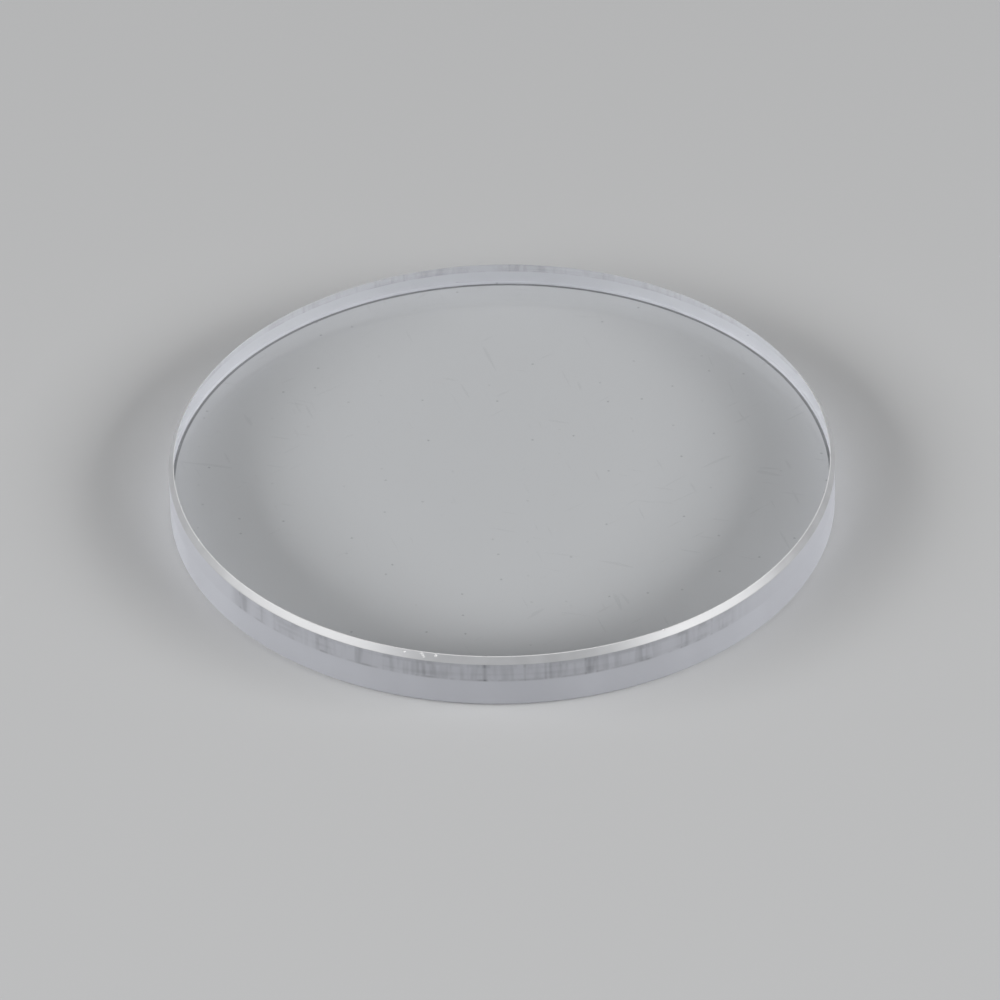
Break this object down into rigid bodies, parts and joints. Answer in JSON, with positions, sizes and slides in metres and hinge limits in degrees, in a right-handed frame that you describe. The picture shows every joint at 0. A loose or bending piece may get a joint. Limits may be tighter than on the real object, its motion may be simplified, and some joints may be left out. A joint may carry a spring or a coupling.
{
  "type": "watch crystal",
  "caption": "Flat round clear watch crystal: a glass disc with polished faces, a frosted ground edge wall and a narrow bevel round its upper rim.",
  "frame": {"origin": "middle of the lower flat face, which lies on the gasket or the dial side", "axes": "+Z along the disc's axis, out through the upper face that the wearer looks at; X and Y are free, because the disc is round"},
  "size_m": [0.035, 0.035, 0.003],
  "materials": {
    "mineral_glass": "polished clear faces, fine-ground frosted edge"
  },
  "bodies": {
    "root": {"crystal": "mineral_glass"}
  },
  "joints": []
}
